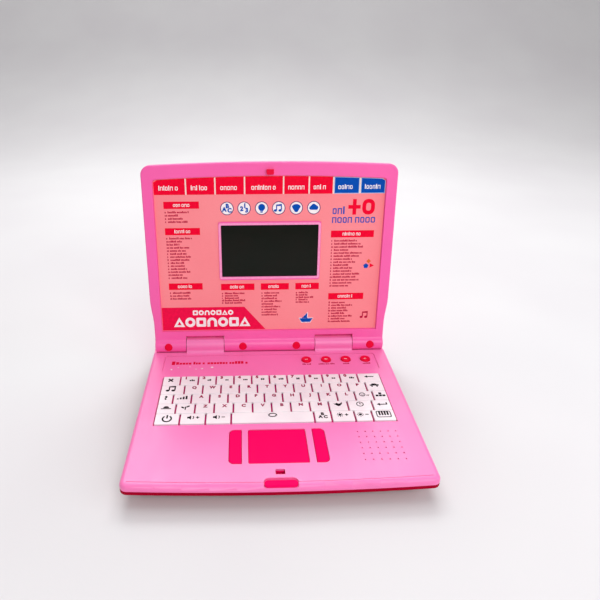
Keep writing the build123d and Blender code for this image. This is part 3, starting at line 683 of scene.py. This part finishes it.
def bird_icon(layer, x, y):
    """A bird in flight."""
    outline = [(-4.4, 1.2), (-2.6, 1.1), (-1.2, 2.3), (0.2, 1.2), (1.6, 1.3), (3.9, 3.2), (3.5, 0.6)]
    outline += [(1.4, -2.0), (-0.4, -2.3), (-1.9, -1.0), (-3.2, 0.1)]
    layer.area(moved(list(reversed(outline)), x, y, 1.1))


def clock_icon(layer, x, y):
    """A clock face with two hands."""
    layer.ring(x, y, 3.7, 2.8)
    layer.line([(x + 1.5, y + 0.2), (x, y), (x, y + 2.1)], 0.8)


def power_icon(layer, x, y):
    """A broken ring with a bar in the gap."""
    layer.line(arc(x, y, 3.5, 125, 415, 24), 1.3)
    layer.box(x - 0.65, x + 0.65, y + 0.4, y + 4.6, 0.2)


def speaker_icon(layer, x, y, sign):
    """A loudspeaker with a plus or a minus."""
    horn = [(-4.4, -1), (-3.0, -1), (-1.2, -2.5), (-1.2, 2.5), (-3.0, 1), (-4.4, 1)]
    layer.area(moved(horn, x, y))
    layer.line(arc(x - 1.6, y, 2.4, -45, 45, 6), 0.8)
    sign_icon(layer, x + 3.9, y, sign)


def sun_icon(layer, x, y, sign):
    """A disc with eight rays, and a plus or a minus."""
    layer.disc(x - 2.4, y, 1.3)
    for number in range(8):
        angle = math.radians(45 * number)
        ends = [(x - 2.4 + r * math.cos(angle), y + r * math.sin(angle)) for r in (1.75, 2.6)]
        layer.line(ends, 0.8)
    sign_icon(layer, x + 2.9, y, sign)


def sign_icon(layer, x, y, sign):
    """A plus or a minus."""
    arm, half = 1.4, 0.45
    if sign < 0:
        layer.box(x - arm, x + arm, y - half, y + half, 0.1)
    else:
        layer.area(moved(plus_outline(arm, arm, half), x, y))


def piano_icon(layer, x, y):
    """Four piano keys in a frame."""
    outer = rounded(x - 6, x + 6, y - 4, y + 4, 1.6)
    inner = rounded(x - 5.2, x + 5.2, y - 3.2, y + 3.2, 1.0)
    frame_slab(layer.bm, outer, inner, layer.low, layer.high)
    for number in range(4):
        left = x - 4.0 + number * 2.2
        layer.box(left, left + 1.5, y - 1.4, y + 3.3, 0.1)


def triple_icon(layer, x, y):
    """Three letters in a triangle."""
    for text, px, py in (("B", 0, 1.9), ("A", -2.0, -1.6), ("C", 2.1, -1.8)):
        layer.write(text, x + px, y + py, 3.1)


def escape_icon(layer, x, y):
    """A small cross, for leaving."""
    turned = [(px - py, px + py) for px, py in plus_outline(2.8, 2.8, 0.75)]
    layer.area(moved(turned, x, y, math.sqrt(0.5)))


def arrow_icon(layer, x, y, tail):
    """An arrow to the left; the tail may turn up at its end."""
    layer.area(moved([(-4.6, 0), (-2.0, -1.9), (-2.0, 1.9)], x, y))
    run = [(x - 2.0, y), (x + 3.6, y)]
    layer.line(run + ([(x + 3.6, y + 2.4)] if tail else []), 1.1)


def level_icon(layer, x, y):
    """Rising steps."""
    for number in range(4):
        left = x - 4.4 + number * 2.4
        layer.box(left, left + 1.6, y - 2.2, y - 0.9 + number * 1.1, 0.15)


def repeat_icon(layer, x, y):
    """Two arrows that chase each other round a flat loop."""
    for turn in (0, 180):
        points = arc(0, 0, 3.2, turn + 20, turn + 150, 10, 0.62)
        layer.line(moved(points, x, y), 1.0)
        side = 1 if turn == 0 else -1
        head = [(-3.9, 0.6), (-1.9, 0.9), (-3.3, -1.0)]
        layer.area([(x + side * px, y + side * py) for px, py in head])


# ---------------------------------------------------------------- keyboard


def cap_centres(node, units):
    """Centre and size of each cap of a row, from the row's box and its caps' widths in units."""
    low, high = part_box(node)
    gap = KEY_GAP * MM
    unit = (high.x - low.x + gap) / sum(units)
    left = low.x
    for width in units:
        right = left + width * unit - gap
        yield (left + right) / 2, (low.y + high.y) / 2, right - left, high.y - low.y
        left = right + gap


def cap_place(node, centre):
    """The frame of a cap's top face."""
    return upright((centre[0], centre[1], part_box(node)[1].z))


def letter_row(node, text, icons):
    """Letters on a row of caps that share one node, then pictures on the caps that are left."""
    units = [1.0] * (len(text) + len(icons))
    if node == "bottom_letter_keys":
        units[-1] = LAST_CAP_UNITS
    centres = list(cap_centres(node, units))
    place = cap_place(node, centres[0])
    offsets = [(centre[0] - centres[0][0]) / MM for centre in centres]
    red = Layer()
    for letter, offset in zip(text, offsets):
        red.write(letter, offset + 0.7, 2.6, LETTER_HEIGHT)
    red.make(f"{node}_letters", place, node, "red_controls", KEY_RED_INK)
    if icons:
        black = Layer()
        for icon, offset in zip(icons, offsets[len(text):]):
            icon(black, offset, 1.6)
        black.make(f"{node}_pictures", place, node, "black_plastic", KEY_BLACK_INK)


def digit_row():
    """A digit in each cap's corner, and a short mark lower down."""
    node = "digit_keys"
    centres = list(cap_centres(node, [1.0] * 10))
    place = cap_place(node, centres[0])
    red, black = Layer(), Layer()
    draw = random.Random(3)
    for digit, centre in zip("1234567890", centres):
        offset = (centre[0] - centres[0][0]) / MM
        red.write(digit, offset - 3.6, 4.2, DIGIT_HEIGHT)
        black.fine_print(offset + 0.4, -1.2, 5.4, 3.0, draw)
    red.make("digit_keys_digits", place, node, "red_controls", KEY_RED_INK)
    black.make("digit_keys_marks", place, node, "black_plastic", KEY_BLACK_INK)


SINGLE_KEYS = {
    "esc_key": lambda layer: escape_icon(layer, -0.6, 0.8),
    "back_key": lambda layer: arrow_icon(layer, 0.5, 1.4, False),
    "music_key": lambda layer: notes_icon(layer, -0.6, 1.0, 1.1),
    "car_key": lambda layer: car_icon(layer, -0.4, 1.6),
    "help_key": lambda layer: layer.write("?", 0, 1.0, 4.6),
    "level_key": lambda layer: level_icon(layer, 0, 1.2),
    "blocks_key": lambda layer: blocks_icon(layer, 0, 1.0),
    "hat_key": lambda layer: hat_icon(layer, 0, 1.2),
    "sprout_key": lambda layer: sprout_icon(layer, 0, 1.2),
    "enter_key": lambda layer: arrow_icon(layer, 0.4, 0.6, True),
    "power_key": lambda layer: power_icon(layer, 0, 0),
    "volume_up_key": lambda layer: speaker_icon(layer, 0, 1.0, 1),
    "volume_down_key": lambda layer: speaker_icon(layer, 0, 1.0, -1),
    "repeat_bar": lambda layer: repeat_icon(layer, 0, 2.4),
    "letters_key": lambda layer: triple_icon(layer, 0, 0.6),
    "contrast_up_key": lambda layer: sun_icon(layer, 0, 1.0, 1),
    "contrast_down_key": lambda layer: sun_icon(layer, 0, 1.0, -1),
    "piano_key": lambda layer: piano_icon(layer, 0, 1.0),
}


def keyboard_print():
    """Letters, digits and pictures on all the caps."""
    digit_row()
    letter_row("top_letter_keys", "QWERTYUIOP", [])
    letter_row("home_letter_keys", "ASDFGHJKL", [face_icon])
    letter_row("bottom_letter_keys", "ZXCVBNM", [bird_icon, clock_icon])
    for node, draw_icon in SINGLE_KEYS.items():
        low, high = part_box(node)
        layer = Layer()
        draw_icon(layer)
        layer.grow(KEY_PICTURE_SCALE)
        place = cap_place(node, (low + high) / 2)
        layer.make(f"{node}_picture", place, node, "black_plastic", KEY_BLACK_INK)


# ---------------------------------------------------------------- deck print


def star(x, y, size):
    """Outline of a four-pointed sparkle."""
    points = []
    for number in range(8):
        radius = size if number % 2 == 0 else size * 0.32
        angle = math.radians(45 * number + 90)
        points.append((x + radius * math.cos(angle), y + radius * math.sin(angle)))
    return points


SPARKLES = (
    (-110, 162.2, 1.7),
    (-103, 166, 1.1),
    (-90, 167, 1.1),
    (-83, 162.6, 1.2),
    (-76.5, 163.2, 1.6),
    (-65.5, 165.6, 2.2),
)
TITLE_MARK = (-111, -107.2, 171.2, 178.2)
TITLE_RUNS = ((-106.2, 33), (-71.0, 47))
TITLE_LOW = 171.6
TITLE_HEIGHT = 5.2
LABEL_WIDTHS = (10.5, 19.0, 9.0, 8.5)
LABEL_LOW = 167.6
LABEL_HEIGHT = 2.3
STICKER = (14, 64, -16, 16)
STICKER_LINES = 7
STICKER_PITCH = 3.7


def panel_layer():
    """Ink on the sunk title panel."""
    return Layer(INK - PANEL_DEPTH, -INK_ROOT - PANEL_DEPTH)


def title_print(draw):
    """A line of mock print with a large first mark, and sparkles under it."""
    title = panel_layer()
    title.box(*TITLE_MARK, 0.5)
    for x, width in TITLE_RUNS:
        title.fine_print(x, TITLE_LOW, width, TITLE_HEIGHT, draw)
    title.make("title_line", DECK, "base", "red_controls", TITLE_INK)
    sparkles = panel_layer()
    for x, y, size in SPARKLES:
        sparkles.area(star(x, y, size))
    sparkles.make("sparkles", DECK, "base", "white_keys", WHITE_INK)


def button_print(draw):
    """Labels under the round buttons, and a short mark in each button's dish."""
    labels = panel_layer()
    for number, width in enumerate(LABEL_WIDTHS, 1):
        node = f"round_button_{number}"
        low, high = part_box(node)
        middle = (low + high) / 2
        labels.fine_print(middle.x / MM - width / 2, LABEL_LOW, width, LABEL_HEIGHT, draw)
        mark = Layer(*DISH_INK)
        mark.fine_print(-1.7, -0.5, 3.4, 1.1, draw)
        mark.make(f"{node}_mark", upright((middle.x, middle.y, high.z)), node, "white_keys", WHITE_INK)
    labels.make("button_labels", DECK, "base", "red_controls", DARK_INK)


def deck_print():
    """All printing on the sunk title panel and the round buttons."""
    draw = random.Random(7)
    title_print(draw)
    button_print(draw)


def underside_label():
    """A pale sticker under the base with mock print that spells nothing."""
    place = upright((0, 0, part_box("battery_door")[0].z)) @ Matrix.Rotation(math.pi, 4, "X")
    draw = random.Random(29)
    card, lines = Layer(), Layer(UPPER_INK)
    card.box(*STICKER, 2.5)
    for number in range(STICKER_LINES):
        lines.fine_print(18, 10 - number * STICKER_PITCH, 42 * draw.uniform(0.5, 1.0), 1.9, draw)
    card.make("underside_sticker", place, "base", "rubber_white", WHITE_INK)
    lines.make("underside_sticker_lines", place, "base", "black_plastic", KEY_BLACK_INK)


# ---------------------------------------------------------------- sheet print


def sheet_top(x):
    """Height of the sheet's upper edge: a shallow bow with round corners."""
    half = SHEET_HIGH.x
    top = SHEET_HIGH.y - SHEET_TOP_SAG * (x / half) ** 2
    past = abs(x) - (half - SHEET_CORNER)
    if past > 0:
        top -= SHEET_CORNER - math.sqrt(max(SHEET_CORNER**2 - past**2, 0))
    return top


TAB_LOW = 173.9
TAB_EDGES = (-122.6, -88.9, -58.0, -26.8, 14.4, 41.6, 67.4, 95.8, 122.6)
TAB_GAP = 1.7
TAB_STEPS = 8
TAB_TEXT_LOW = 178.6
TAB_TEXT_HEIGHT = 5.0
BLUE_TABS = 2


def tab(x0, x1, inset=0.0):
    """Outline of one tab of the row along the sheet's top."""
    left, right = x0 + inset, x1 - inset
    lower = [(left, TAB_LOW + inset), (right, TAB_LOW + inset)]
    xs = [right + (left - right) * n / TAB_STEPS for n in range(TAB_STEPS + 1)]
    return lower + [(x, sheet_top(x) - 0.4 - inset) for x in xs]


# Left edge, bar's lower edge, bar's width, and how many lines follow at which pitch
SECTIONS = (
    (-113.3, 159.2, 37.7, 4, 3.45),
    (-113.3, 130.8, 37.7, 14, 3.44),
    (-112.9, 68.4, 37.7, 3, 3.45),
    (-54.6, 67.2, 37.5, 5, 2.85),
    (-9.9, 67.2, 31.5, 9, 3.3),
    (29.0, 67.2, 26.6, 5, 2.85),
    (66.8, 126.4, 47.1, 16, 3.45),
    (66.7, 54.6, 40.0, 8, 3.3),
)
BAR_HEIGHT = 7.6
LIST_HEIGHT = 2.2
FIRST_LINE = 4.7
DISC_XS = (-45.9, -27.6, -8.8, 9.5, 28.3, 47.2)
DISC_S = 159.1
DISC_RADIUS = 6.9


def tabs_print(red, blue, sky, cream, white, draw):
    """The row of tabs along the sheet's top."""
    pairs = list(zip(TAB_EDGES, TAB_EDGES[1:]))
    for number, (x0, x1) in enumerate(pairs):
        left = x0 + (TAB_GAP / 2 if number else 0)
        right = x1 - (TAB_GAP / 2 if x1 < TAB_EDGES[-1] else 0)
        if number < len(pairs) - BLUE_TABS:
            red.area(tab(left, right))
        else:
            sky.area(tab(left, right))
            blue.area(tab(left, right, 0.6))
        width = (right - left) * 0.68
        white.words((left + right - width) / 2, TAB_TEXT_LOW, width, TAB_TEXT_HEIGHT, draw)
        if number:
            half = TAB_GAP / 2 - 0.15
            cream.box(x0 - half, x0 + half, TAB_LOW, sheet_top(x0) - 0.5, 0.1)


def sections_print(red, dark, white, draw):
    """Headed lists: a bar with a mock heading, and lines of mock print below it."""
    for x, s, width, lines, pitch in SECTIONS:
        red.box(x, x + width, s, s + BAR_HEIGHT, 0.2)
        heading = width * 0.46
        white.words(x + (width - heading) / 2, s + 2.1, heading, 3.8, draw)
        for number in range(lines):
            level = s - FIRST_LINE - number * pitch
            dark.fine_print(x + 0.8, level, 2.4, LIST_HEIGHT, draw)
            dark.fine_print(x + 4.0, level, width * draw.uniform(0.42, 0.8) - 4, LIST_HEIGHT, draw)


def discs_print(rims, discs, icons):
    """Six round pictures above the screen."""
    for x in DISC_XS:
        rims.ring(x, DISC_S, DISC_RADIUS + 0.3, DISC_RADIUS - 0.5)
        discs.disc(x, DISC_S, DISC_RADIUS - 0.3)
    for text, px, py in (("B", 0.4, 2.4), ("A", -2.9, -1.2), ("C", 2.7, -2.2)):
        icons.write(text, DISC_XS[0] + px, DISC_S + py, 4.3)
    for text, px, py in (("1", 0.8, 2.6), ("2", -2.6, -0.6), ("3", 2.8, -2.2)):
        icons.write(text, DISC_XS[1] + px, DISC_S + py, 4.5)
    bulb_icon(icons, DISC_XS[2], DISC_S)
    notes_icon(icons, DISC_XS[3], DISC_S, 1.15)
    shell_icon(icons, DISC_XS[4], DISC_S)
    cloud_icon(icons, DISC_XS[5], DISC_S)


def bulb_icon(layer, x, y):
    """A lamp bulb."""
    glass = arc(x, y + 0.9, 3.7, -55, 235, 20)
    layer.area(glass + [(x - 1.5, y - 3.0), (x + 1.5, y - 3.0)])
    layer.box(x - 1.4, x + 1.4, y - 4.7, y - 3.4, 0.4)


def shell_icon(layer, x, y):
    """A fan that narrows to its foot."""
    rim = arc(x, y + 0.6, 4.9, 12, 168, 14, 0.72)
    layer.area(rim + [(x - 1.3, y - 4.4), (x + 1.3, y - 4.4)])


def cloud_icon(layer, x, y):
    """A puffy outline from three arcs on a flat base."""
    outline = arc(x + 2.5, y, 2.3, -80, 70, 8) + arc(x - 0.2, y + 1.6, 2.6, 40, 150, 8)
    outline += arc(x - 2.9, y - 0.2, 2.0, 110, 260, 8)
    layer.area(outline)


def boat_icon(layer, x, y, grow):
    """A small boat with a sail."""
    rail, keel = 7.3 + grow, 4.6 + grow / 2
    hull = [(-rail, -1.0 + grow), (-keel, -4.6 - grow), (keel, -4.6 - grow), (rail, -1.0 + grow)]
    layer.area(moved(hull, x, y))
    sail = [(-4.4 - grow, 0.2 - grow), (0.9 + grow, 0.2 - grow), (0.9 + grow, 5.4 + grow * 1.6)]
    layer.area(moved(sail, x, y))


def shape_row(layer, shapes, left, pitch, y, half):
    """Play shapes side by side."""
    for number, shape in enumerate(shapes):
        shape(layer, left + half + number * pitch, y, half)


def banner_print(banner, white):
    """A slanted banner with two rows of play shapes."""
    banner.area([(-122.6, 19.4), (-4.6, 19.4), (-28.8, 47.2), (-122.6, 47.2)])
    small = (square_shape, round_shape, arch_shape, round_shape)
    small += (square_shape, triangle_shape, round_shape)
    large = (triangle_shape, round_shape, square_shape, arch_shape)
    large += (round_shape, square_shape, triangle_shape)
    shape_row(white, small, -87.6, 6.7, 40.6, 2.9)
    shape_row(white, large, -109.0, 12.5, 29.0, 5.6)


def square_shape(layer, x, y, half):
    """A square with a square hole."""
    inner = half * 0.42
    outside = rounded(x - half, x + half, y - half, y + half, half * 0.3)
    inside = rounded(x - inner, x + inner, y - inner, y + inner, inner * 0.3)
    frame_slab(layer.bm, outside, inside, layer.low, layer.high)


def round_shape(layer, x, y, half):
    """A thick ring."""
    layer.ring(x, y, half * 1.05, half * 0.45)


def triangle_shape(layer, x, y, half):
    """A triangle with a triangular hole."""
    outer = [(-1.15 * half, -half), (1.15 * half, -half), (0, half * 1.1)]
    inner = [(px * 0.38, py * 0.38 - half * 0.22) for px, py in outer]
    frame_slab(layer.bm, moved(outer, x, y), moved(inner, x, y), layer.low, layer.high)


def arch_shape(layer, x, y, half):
    """A round arch."""
    outline = arc(0, 0, half, 0, 180, 12) + [(-half, -half), (-half * 0.42, -half)]
    outline += arc(0, 0, half * 0.42, 180, 0, 12) + [(half * 0.42, -half), (half, -half)]
    layer.area(moved(outline, x, y))


def big_signs(red):
    """A tall plus and a tall ring in the upper right corner."""
    red.area(moved(plus_outline(6.6, 8.4, 2.0), 91.0, 159.6))
    outer = rounded(99.4, 113.0, 151.2, 168.0, 6.2)
    inner = rounded(103.6, 108.8, 155.4, 163.8, 2.4)
    frame_slab(red.bm, outer, inner, red.low, red.high)


def corner_marks(red, blue, dark, orange, white):
    """The loose pictures: signs and mock words beside the circles, three shapes, a boat and notes."""
    big_signs(red)
    draw = random.Random(23)
    blue.words(67.6, 152.0, 14.6, 8.2, draw)
    blue.words(67.4, 142.4, 47.5, 8.0, draw)
    orange.area(moved([(0, -2.6), (2.6, 0), (0, 2.6), (-2.6, 0)], 110.2, 99.2))
    blue.area(arc(107.4, 93.8, 3.1, 18, 378, 5))
    red.area(moved([(-2.0, -2.6), (2.8, 0), (-2.0, 2.6)], 113.6, 94.2))
    boat_icon(white, 42.0, 32.6, 1.2)
    boat_icon(blue, 42.0, 32.6, 0.5)
    notes_icon(dark, 109.6, 35.4, 1.2)


def painted_shade_strips():
    """A magenta strip on the lid over each fixed knuckle, which closes the slit between them: painted
    shade, so the slit reads as a dark line.
    """
    bm = bmesh.new()
    for side in (-1, 1):
        x0, x1 = sorted(side * end for end in KNUCKLE_ENDS)
        prism(bm, plain_box(x0, x1, LIP_LOW, LIP_LOW + LIP_WIDTH), *LIP_DEPTHS)
    # The magenta strips are painted shade behind the slit over each knuckle.
    piece("hinge_painted_shade_strips", bm, LID, "lid", MATERIALS["magenta_frame"])


def screen_frame_highlight():
    """A paler face on the raised frame round the screen: a painted highlight for the light that the raised
    frame catches.
    """
    low, high = local_box("screen_window", LID)
    place = LID @ upright((0, 0, (SHEET_HIGH.z + FRAME_RISE) * MM))
    inside = rounded(low.x - 0.2, high.x + 0.2, low.y - 0.2, high.y + 0.2, 1.1)
    reach = FRAME_BORDER - 0.3
    outside = rounded(low.x - reach, high.x + reach, low.y - reach, high.y + reach, 2.2)
    # Painted highlight: a pale ring laid over the frame's face.
    highlight_ring = Layer()
    frame_slab(highlight_ring.bm, outside, inside, highlight_ring.low, highlight_ring.high)
    highlight_ring.make("screen_frame_highlight", place, "lid", "pink_lid", FRAME_HIGHLIGHT_INK)


def sheet_print():
    """All printing on the card, one piece for each ink and level."""
    place = LID @ upright((0, 0, SHEET_HIGH.z * MM))
    draw = random.Random(11)
    red, dark, sky, cream, orange, discs, banner, backing = (Layer() for _ in range(8))
    rims, blue, icons = (Layer(UPPER_INK) for _ in range(3))
    white = Layer(TOP_INK)
    tabs_print(red, blue, sky, cream, white, draw)
    sections_print(red, dark, white, draw)
    discs_print(rims, discs, icons)
    banner_print(banner, white)
    corner_marks(red, blue, dark, orange, backing)
    made = {
        "sheet_red_print": (red, RED_INK),
        "sheet_list_print": (dark, DARK_INK),
        "sheet_sky_print": (sky, SKY_INK),
        "sheet_tab_lines": (cream, CREAM_INK),
        "sheet_orange_print": (orange, ORANGE_INK),
        "sheet_discs": (discs, WHITE_INK),
        "sheet_banner": (banner, BANNER_INK),
        "sheet_disc_rims": (rims, RIM_INK),
        "sheet_picture_backing": (backing, WHITE_INK),
        "sheet_blue_print": (blue, BLUE_INK),
        "sheet_disc_pictures": (icons, BLUE_INK),
        "sheet_white_print": (white, WHITE_INK),
    }
    for name, (layer, material) in made.items():
        layer.make(name, place, "lid", "printed_sheet", material)


# ---------------------------------------------------------------- studio


def camera():
    """The view from in front, a little above the lid."""
    data = bpy.data.cameras.new("camera")
    data.lens = CAMERA_LENS
    data.shift_x, data.shift_y = CAMERA_SHIFT
    data.clip_start = 0.01
    made = bpy.data.objects.new("camera", data)
    made.location = CAMERA_PLACE
    made.rotation_euler = [math.radians(angle) for angle in CAMERA_TURN]
    bpy.context.scene.collection.objects.link(made)
    bpy.context.scene.camera = made


def backdrop():
    """A pale floor that sweeps up behind the object."""
    half, front, start, bend, top = 3.0, -2.5, 1.2, 1.6, 3.4
    angles = [math.radians(7.5 * number) for number in range(13)]
    profile = [(front, 0.0)]
    profile += [(start + bend * math.sin(a), bend * (1 - math.cos(a))) for a in angles]
    profile += [(start + bend, top)]
    bm = bmesh.new()
    rows = [[bm.verts.new((side * half, y, z)) for side in (-1, 1)] for y, z in profile]
    for lower, upper in zip(rows, rows[1:]):
        bm.faces.new((lower[0], lower[1], upper[1], upper[0]))
    mesh = bpy.data.meshes.new("backdrop")
    bm.to_mesh(mesh)
    bm.free()
    mesh.polygons.foreach_set("use_smooth", [True] * len(mesh.polygons))
    surface = Surface("backdrop_paper", Specular_IOR_Level=0.2)
    patch = surface.drift(0.3, 0, 1)
    tone = surface.blend(patch, srgb(214, 212, 214), srgb(219, 218, 219))
    mesh.materials.append(surface.finish(tone, 0.8, surface.bump(surface.noise(0.002), 0.00005)))
    made = bpy.data.objects.new("backdrop", mesh)
    bpy.context.scene.collection.objects.link(made)


def softbox(name, place, target, size, power, colour=(1, 1, 1)):
    """A rectangular light that faces a point."""
    data = bpy.data.lights.new(name, "AREA")
    data.shape = "RECTANGLE"
    data.size, data.size_y = size
    data.energy = power
    data.color = colour
    made = bpy.data.objects.new(name, data)
    made.location = place
    made.rotation_euler = (Vector(target) - Vector(place)).to_track_quat("-Z", "Y").to_euler()
    bpy.context.scene.collection.objects.link(made)


def studio():
    """Four soft lights and an even pale surrounding."""
    middle = (0, 0, 0.08)
    softbox("ceiling", (0, 0.8, 2.3), (0, 0.4, 0), (2.6, 2.2), 25)
    softbox("rear", (0, 1.1, 1.25), middle, (1.3, 0.8), 14)
    softbox("front", (0.4, -1.3, 1.0), middle, (1.2, 0.9), 12)
    softbox("right", (1.3, -0.4, 0.7), middle, (0.8, 0.8), 3.5, (0.9, 0.9, 1.0))
    world = bpy.data.worlds.new("world")
    world.use_nodes = True
    background = world.node_tree.nodes["Background"]
    background.inputs["Color"].default_value = WORLD_COLOUR
    background.inputs["Strength"].default_value = WORLD_STRENGTH
    bpy.context.scene.world = world
    bpy.context.scene.view_settings.view_transform = "Standard"


camera()
backdrop()
studio()
dress_nodes()
keyboard_print()
deck_print()
underside_label()
sheet_print()
screen_frame_highlight()
painted_shade_strips()
